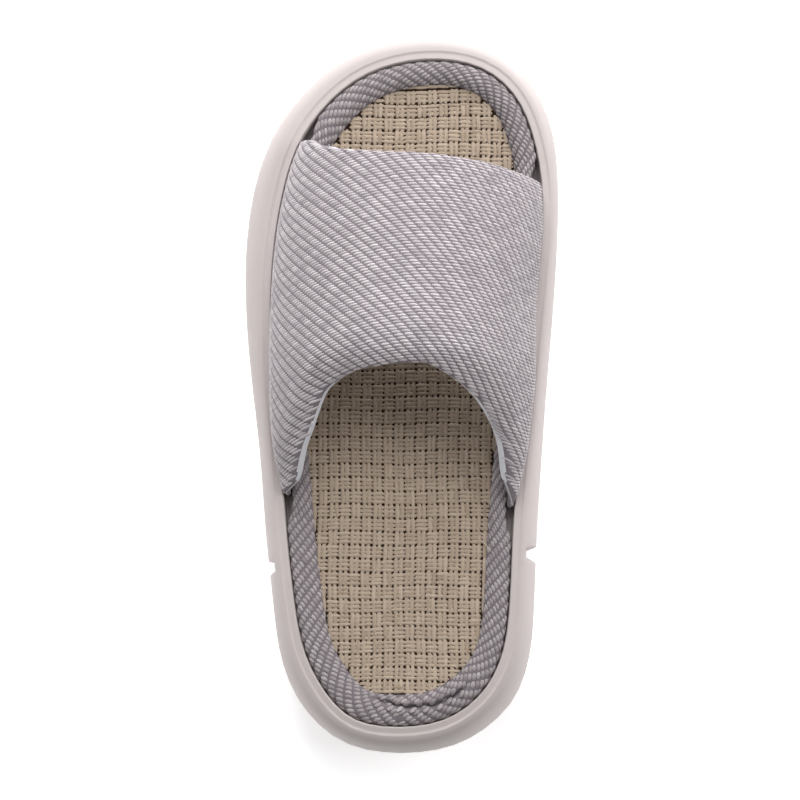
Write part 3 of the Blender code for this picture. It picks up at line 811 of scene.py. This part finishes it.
sections = []
for share in (1 - np.cos(np.linspace(0, math.pi, ROLL_ROWS))) / 2:
    plan = inside_ridge(BINDING_OUTER + (BINDING_INNER - BINDING_OUTER) * share)
    sections.append(np.column_stack([plan, binding_height(plan, np.full(len(plan), share))]))
hidden = (
    (BINDING_INNER, lambda y: linen_height(y) + CLEARANCE),
    (BINDING_INNER - BINDING_LAP, lambda y: linen_height(y) + CLEARANCE),
    (BINDING_INNER - BINDING_LAP, lambda y: cup_floor(y) + CLEARANCE),
    (BINDING_OUTER + CUP_CORNER, lambda y: cup_floor(y) + CLEARANCE),
    (BINDING_OUTER, lambda y: cup_floor(y) + CLEARANCE + CUP_CORNER),
)
for inset, height in hidden:
    plan = inside_ridge(inset)
    sections.append(np.column_stack([plan, height(plan[:, 1])]))
sections.append(sections[0])
binding_grid = np.array([closed(section) for section in sections])

# Twill of grey-violet yarn, a shade darker than the upper's. Its ground is the lower yarns, set darker
# than the floats as painted shade between them
binding_ground_painted_shade = ground_material("binding_ground_painted_shade", "777074")
binding_yarn = yarn_material("binding_yarn", "8A8183", "B2AAAB", fibre_mm=0.4, sheen=0.2)

binding = add_piece(
    "binding_roll",
    wrapped_sheet(binding_grid),
    [binding_ground_painted_shade],
    node="insole_binding",
    smooth_under=BINDING_CORNER,
)

# %% [markdown]
# The strip was cut on the bias, so that it bends round the toe and the heel without creases, and its
# weave turns with it. The yarns are therefore laid out on a flat strip first: s runs along it and t
# across it, ribs lie at 45 degrees, and each float crosses from one rib to the next. Then one
# function bends the strip round the shoe and over the roll. Laying them in plan would be simpler,
# but the ribs would then run straight through the whole ring.

# %% Yarns of the binding
TAPE_RIB_TURN = math.radians(45)
TAPE_FLOAT_TURN = math.radians(-32)
TAPE_RIB_PITCH = 3.2 * MM
TAPE_ROW_PITCH = 1.6 * MM
TAPE_FLOAT_FILL = 0.94
TAPE_ROW_FILL = 1.06
TAPE_THICKNESS = 0.85 * MM
TAPE_MARGIN = 0.2 * MM
TAPE_STRAY = 0.05 * MM
TAPE_SINK = 0.05 * MM
TAPE_TONE_SPREAD = 0.18
SECTION_STEPS = 60
CREASE_OPENING = 0.3 * MM

tape_middle = (binding_edges[0] + binding_edges[1]) / 2
tape_along = np.concatenate([[0], np.cumsum(np.linalg.norm(np.diff(tape_middle, axis=0), axis=1))])
section_share = np.linspace(0, 1, SECTION_STEPS)
section_rise = BINDING_RISE * read(ROLL, "rise", section_share)
section_steps = np.hypot(np.diff(section_share) * BINDING_WIDTH, np.diff(section_rise))
section_arc = np.concatenate([[0], np.cumsum(section_steps)])


def tape_point(s, t):
    """Where a point of the flat strip comes to lie: s along the ring, t from the rim to the linen."""
    at = np.interp(s % tape_along[-1], tape_along, np.arange(len(tape_along)))
    share = np.interp(t, section_arc, section_share)
    outer, inner = (
        np.stack([np.interp(at, np.arange(len(edge)), edge[:, i]) for i in range(2)], axis=1)
        for edge in binding_edges
    )
    plan = outer + (inner - outer) * share[:, None]
    return np.column_stack([plan, binding_height(plan, share)])


float_step = np.array([math.cos(TAPE_FLOAT_TURN), math.sin(TAPE_FLOAT_TURN)])
float_step = float_step * TAPE_RIB_PITCH / math.sin(TAPE_FLOAT_TURN - TAPE_RIB_TURN)
rib_step = np.array([math.cos(TAPE_RIB_TURN), math.sin(TAPE_RIB_TURN)]) * TAPE_ROW_PITCH
reach = int(tape_along[-1] / TAPE_ROW_PITCH)
line = np.arange(-reach, reach)
counts = np.stack(np.meshgrid(line, line), axis=-1).reshape(-1, 2)
lattice = counts[:, :1] * float_step + counts[:, 1:] * rib_step
lattice = lattice[(lattice[:, 0] > 0) & (lattice[:, 0] < tape_along[-1])]
lattice = lattice[(lattice[:, 1] > TAPE_MARGIN) & (lattice[:, 1] < section_arc[-1] - TAPE_MARGIN)]
lattice = lattice + random.normal(0, TAPE_STRAY, lattice.shape)
# No floats lie along the lap, so the darker ground, with its painted shade, shows in the fold
from_lap, _ = distance_to(HEEL_LAP, tape_point(*lattice.T)[:, :2])
lattice = lattice[from_lap > CREASE_OPENING]
middles = tape_point(*lattice.T)
along = tape_point(*(lattice + float_step / 2).T) - tape_point(*(lattice - float_step / 2).T)
across = tape_point(*(lattice + rib_step / 2).T) - tape_point(*(lattice - rib_step / 2).T)
out = np.cross(along, across)
out = out / np.linalg.norm(out, axis=1)[:, None]
out = np.where(out[:, 2:] < 0, -out, out)
tones = np.clip(random.normal(0.5, TAPE_TONE_SPREAD, len(lattice)), 0, 1)
binding_weave = lay_yarns(
    "binding_yarns",
    yarn_float(bluntness=2.4, dive=0.3),
    middles - out * TAPE_SINK,
    along * TAPE_FLOAT_FILL,
    across * TAPE_ROW_FILL,
    out * TAPE_THICKNESS,
    tones,
    binding_yarn,
)

# %% [markdown]
# The upper is one band of twill with thin foam and a lining behind it. It goes up from the cup on
# the lateral side, over the instep, and down on the medial side. Its section is a half oval whose
# crown lies to the inner side of the foot, and its front and throat edges roll in. A cloth
# simulation could drape it, but a padded band holds its moulded shape, so the surface is worked out
# straight from the arch that the CAD uses, and wrapped as one closed sheet with a lining side.

# %% Upper
UPPER_WALL = 0.004
UPPER_PUFF = 0.0052
THROAT_ROLL = 0.0045
THROAT_ROLL_LENGTH = 0.016
FRONT_ROLL = 0.001
FRONT_ROLL_LENGTH = 0.006
ROLL_EASE = 0.016
THICKENING_HEIGHT = 0.004
ARCH_COLUMNS = 140
UPPER_ROWS = 60
EDGE_STEPS = 7
EDGE_SHARE = 0.02
FOOT_LEVELS = (0.0, 0.5)

# How far the lining shows at the throat: starts and ends are shares of the way from crown to rim
LINING_REACH = 0.8
LINING_TURN_LEAST = 0.001
LINING_TURN_MORE = 0.005
LINING_TURN_START = 0.3
LINING_TURN_EASE = 0.3
LINING_TURN_END = 0.74
LINING_TURN_FADE = 0.08

# Crown height as a share of INSTEP_HEIGHT, and how far each side swells over the rim
ARCH = (
    ("station", "crown", "lateral_puff", "medial_puff"),
    (0.340, 0.780, 0.25, 0.40),
    (0.365, 0.820, 0.40, 0.65),
    (0.430, 0.920, 0.70, 0.95),
    (0.497, 0.988, 0.50, 0.95),
    (0.530, 1.000, 0.38, 0.80),
    (0.560, 0.980, 0.29, 0.64),
    (0.630, 0.915, 0.10, 0.33),
    (0.720, 0.830, 0.03, 0.30),
    (0.810, 0.735, 0.00, 0.13),
    (0.900, 0.640, 0.00, 0.06),
)

# Swelling of the side, by the share of the way from the rim to the crown
PUFF = (
    ("climb", "swell"),
    (0.00, 0.00),
    (0.04, 0.48),
    (0.09, 0.82),
    (0.18, 1.00),
    (0.30, 0.86),
    (0.50, 0.47),
    (0.75, 0.18),
    (1.00, 0.06),
)

SEAT = inside_ridge(CUP_INSET + CLEARANCE)


def foot_x(lateral, y):
    """Where the upper's foot stands in the cup, on the lateral or the medial side."""
    found = []
    for half in (slice(0, SIDE_POINTS + 1), slice(SIDE_POINTS, None)):
        order = np.argsort(SEAT[half, 1])
        found.append(np.interp(y, SEAT[half, 1][order], SEAT[half, 0][order]))
    return np.where(lateral, found[0], found[1])


def arch_point(across, y):
    """Outer face of the band: across is -1 at the lateral rim, 0 at the crown, 1 at the medial rim."""
    station = station_of(y)
    lateral = across < 0
    climb = 1 - abs(across)
    angle = climb * math.pi / 2
    puff = np.where(lateral, read(ARCH, "lateral_puff", station), read(ARCH, "medial_puff", station))
    swell = UPPER_PUFF * puff * read(PUFF, "swell", climb)
    reach = abs(foot_x(lateral, y) - CROWN_OFFSET) + swell
    rim = ridge_height(y)
    x = CROWN_OFFSET + np.where(lateral, -1, 1) * reach * np.cos(angle)
    z = rim + (INSTEP_HEIGHT * read(ARCH, "crown", station) - rim) * np.sin(angle)
    return np.stack([x, y, z], axis=-1)


def edge_stations(across):
    """Stations of the band's front edge and of its throat edge."""
    return read(UPPER_CUT, "front", across), read(UPPER_CUT, "throat", across)


def lining_turn(across):
    """Share of the band's length, at the throat, where the lining is turned over the edge."""
    grows = eased_step(abs(across) - LINING_TURN_START, LINING_TURN_EASE)
    fades = eased_step(abs(across) - LINING_TURN_END, LINING_TURN_FADE)
    return LINING_TURN_LEAST + LINING_TURN_MORE * grows * (1 - fades)


edge_share = EDGE_SHARE * (1 - np.cos(np.linspace(0, math.pi / 2, EDGE_STEPS)))
row_shares = np.concatenate([edge_share, np.linspace(0, 1, UPPER_ROWS + 1)[2:-2], 1 - edge_share[::-1]])
arch_across = np.linspace(-1, 1, ARCH_COLUMNS + 1)
levels = [(-1.0, level) for level in FOOT_LEVELS] + [(a, 1.0) for a in arch_across]
levels = np.array(levels + [(1.0, level) for level in FOOT_LEVELS[::-1]])
across_grid, share_grid = np.meshgrid(levels[:, 0], row_shares)
front, throat = edge_stations(across_grid)
y_grid = station_y(front + (throat - front) * share_grid)
face = arch_point(across_grid, y_grid)
foot_base = cup_floor(y_grid) + CUP_CORNER + CLEARANCE
face[:, :, 2] = foot_base + (face[:, :, 2] - foot_base) * levels[None, :, 1]


def face_normals(grid):
    """Unit normals of a grid of points, which face up in its middle."""
    normal = np.cross(np.gradient(grid, axis=1), np.gradient(grid, axis=0))
    normal /= np.linalg.norm(normal, axis=2)[:, :, None]
    middle = normal[normal.shape[0] // 2, normal.shape[1] // 2]
    return normal if middle[2] > 0 else -normal


normal = face_normals(face)
feet = len(FOOT_LEVELS) + 1
normal[:, :feet, 2] = 0
normal[:, -feet:, 2] = 0
normal /= np.linalg.norm(normal, axis=2)[:, :, None]
steps = np.linalg.norm(np.diff(face, axis=0), axis=2)
from_front = np.concatenate([np.zeros((1, face.shape[1])), np.cumsum(steps, axis=0)])
from_throat = from_front[-1] - from_front
above_rim = eased_step(face[:, :, 2] - ridge_height(y_grid), ROLL_EASE)
roll = THROAT_ROLL * np.clip(1 - from_throat / THROAT_ROLL_LENGTH, 0, 1) ** 2
roll = (roll + FRONT_ROLL * np.clip(1 - from_front / FRONT_ROLL_LENGTH, 0, 1) ** 2) * above_rim
lift = face[:, :, 2] - (linen_height(y_grid) + BINDING_RISE)
wall = FOOT_WALL + (UPPER_WALL - FOOT_WALL) * np.clip(lift / THICKENING_HEIGHT, 0, 1)
edge = np.minimum(from_front, from_throat)
fullness = np.sqrt(1 - np.clip(1 - 2 * edge / wall, 0, 1) ** 2)
outer_face = face - normal * (roll + YARN_SEAT + wall / 2 * (1 - fullness))[:, :, None]
inner_face = face - normal * (roll + wall / 2 * (1 + fullness))[:, :, None]
rings = np.concatenate([outer_face, inner_face[:, ::-1], outer_face[:, :1]], axis=1)
is_lining = np.zeros((rings.shape[0] - 1, rings.shape[1] - 1), bool)
is_lining[:, -inner_face.shape[1] :] = abs(levels[::-1, 0]) < LINING_REACH
turned_over = row_shares[:-1, None] > 1 - lining_turn(levels[None, :, 0])
is_lining[:, : len(levels)] |= turned_over

# Twill of pale grey-violet yarn, with a smooth pale knit behind it. The twill's ground is the lower
# yarns, set darker than the floats as painted shade between them
twill_ground_painted_shade = ground_material("twill_ground_painted_shade", "857D82")
twill_yarn = yarn_material("twill_yarn", "A8A1A5", "CFC8CB", fibre_mm=0.4, sheen=0.2)
lining = ground_material("knitted_lining", "DCDDE2")

upper_sheet = wrapped_sheet(rings, is_lining)
upper = add_piece("upper_band", upper_sheet, [twill_ground_painted_shade, lining], node="upper")
upper_points = outer_face.reshape(-1, 3) / MM
print("upper, mm:", np.round(upper_points.min(axis=0), 1), np.round(upper_points.max(axis=0), 1))

# %% [markdown]
# The twill of the upper is the same cloth on a larger piece. Its floats lie in rows 1.2 mm apart
# that run almost straight across the foot, and each row is shifted against the next, which makes
# the ribs, 3 mm apart, that run down to the inner side. Cloth doesn't stretch much, so the pattern
# is counted in lengths along the surface: u across the foot, from the crown, and w along it. The
# cloth was bent over the last, so w bends with the square of the distance from the middle.

# %% Yarns of the upper
# Ribs and rows counted in each millimetre along u and along w
RIB_PER_MM = (0.231, -0.239)
ROW_PER_MM = (0.122, 0.831)
BEND_PER_MM = 0.0057
TWILL_THICKNESS = 0.85 * MM
FLOAT_FILL = 0.94
ROW_FILL = 0.95
TWILL_LIFT = 0.1 * MM
TWILL_TONE_SPREAD = 0.22
TWILL_REACH = 0.985
FRONT_MARGIN = 0.004
RIB_COUNT = 80
ROW_COUNT = 240
TABLE_ROWS = 150
TABLE_STEP = 0.0004
PLACE_ROUNDS = 6
END_GAP = 1.001

arch_y = np.linspace(y_grid.min(), y_grid.max(), TABLE_ROWS)
arch_table = arch_point(*np.meshgrid(arch_across, arch_y))
arc = np.linalg.norm(np.diff(arch_table, axis=1), axis=2)
arc = np.concatenate([np.zeros((TABLE_ROWS, 1)), np.cumsum(arc, axis=1)], axis=1)
arc -= arc[:, ARCH_COLUMNS // 2 : ARCH_COLUMNS // 2 + 1]
u_steps = np.arange(arc.min(), arc.max(), TABLE_STEP)
across_of_u = np.array([np.interp(u_steps, row, arch_across) for row in arc])
x_of_u = np.array([np.interp(u_steps, row, line[:, 0]) for row, line in zip(arc, arch_table)])


def look_up(table, row, col):
    """A table read between its rows and columns, to just before its last ones."""
    row = np.clip(row, 0, table.shape[0] - END_GAP)
    col = np.clip(col, 0, table.shape[1] - END_GAP)
    i, j = row.astype(int), col.astype(int)
    p, q = row - i, col - j
    if table.ndim == 3:
        p, q = p[:, None], q[:, None]
    near = table[i, j] * (1 - q) + table[i, j + 1] * q
    far = table[i + 1, j] * (1 - q) + table[i + 1, j + 1] * q
    return near * (1 - p) + far * p


def cloth_place(rib, row):
    """Where the weave's count of ribs and rows lies on the band: across, share of the way, point."""
    system = np.linalg.inv(np.array([RIB_PER_MM, ROW_PER_MM]))
    u, w = system @ np.stack([rib, row]) * MM
    y = -w
    for _ in range(PLACE_ROUNDS):
        at_row = np.interp(y, arch_y, np.arange(TABLE_ROWS))
        at_col = (u - u_steps[0]) / TABLE_STEP
        x = look_up(x_of_u, at_row, at_col)
        y = -(w + BEND_PER_MM / MM * x**2)
    across = look_up(across_of_u, at_row, at_col)
    front, throat = edge_stations(across)
    share = (station_of(y) - front) / (throat - front)
    beyond = (u < u_steps[0]) | (u > u_steps[-1])
    at_row = np.interp(share, row_shares, np.arange(len(row_shares)))
    at_col = (across + 1) / 2 * ARCH_COLUMNS + len(FOOT_LEVELS)
    return across, share, look_up(outer_face, at_row, at_col), look_up(normal, at_row, at_col), beyond


ribs, rows = np.meshgrid(np.arange(-RIB_COUNT, RIB_COUNT), np.arange(-ROW_COUNT, ROW_COUNT))
ribs, rows = ribs.ravel() + 0.0, rows.ravel() + 0.0
across_at, share_at, _, _, beyond = cloth_place(ribs, rows)
uncovered = (share_at > FRONT_MARGIN) & (share_at < 1 - lining_turn(across_at))
kept = (abs(across_at) < TWILL_REACH) & uncovered & ~beyond
ribs, rows = ribs[kept], rows[kept]
_, _, middles, out, _ = cloth_place(ribs, rows)
along = cloth_place(ribs + 0.5, rows)[2] - cloth_place(ribs - 0.5, rows)[2]
across = cloth_place(ribs, rows + 0.5)[2] - cloth_place(ribs, rows - 0.5)[2]
out = out / np.linalg.norm(out, axis=1)[:, None]
tones = np.clip(random.normal(0.5, TWILL_TONE_SPREAD, len(ribs)), 0, 1)
upper_weave = lay_yarns(
    "upper_yarns",
    yarn_float(bluntness=2.4, dive=0.3),
    middles + out * TWILL_LIFT,
    along * FLOAT_FILL,
    across * ROW_FILL,
    out * TWILL_THICKNESS,
    tones,
    twill_yarn,
)

# %% [markdown]
# One loose end of yarn lies on the linen near the inner side. It is a short curve with a bevel,
# which is the simplest way to model a thread: a few points give the route, and the bevel gives it
# its thickness, with both ends filled.

# %% Loose thread
THREAD_RADIUS = 0.13 * MM

# Place in plan and lift over the linen, in mm: the end climbs on to the binding
THREAD_MM = (
    (31.1, -57.4, 0.5),
    (32.0, -58.1, 0.9),
    (33.3, -59.6, 2.0),
    (34.3, -60.6, 3.1),
    (34.9, -61.9, 3.9),
)

thread_curve = bpy.data.curves.new("loose_thread", "CURVE")
thread_curve.dimensions = "3D"
thread_curve.bevel_depth = THREAD_RADIUS
thread_curve.bevel_resolution = 1
thread_curve.use_fill_caps = True
thread_line = thread_curve.splines.new("POLY")
thread_line.points.add(len(THREAD_MM) - 1)
for point, (x, y, lift) in zip(thread_line.points, THREAD_MM):
    point.co = (x * MM, y * MM, linen_height(y * MM) + lift * MM, 1)

# A fine fibre of bare linen, paler than the woven yarn
loose_yarn = yarn_material("loose_yarn", "CFC4B6", "E6DDD0", fibre_mm=0.4, sheen=0.1)
thread_curve.materials.append(loose_yarn)
thread = bpy.data.objects.new("loose_thread", thread_curve)
bpy.context.scene.collection.objects.link(thread)
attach(thread, "root")
print("thread points:", len(thread_line.points))
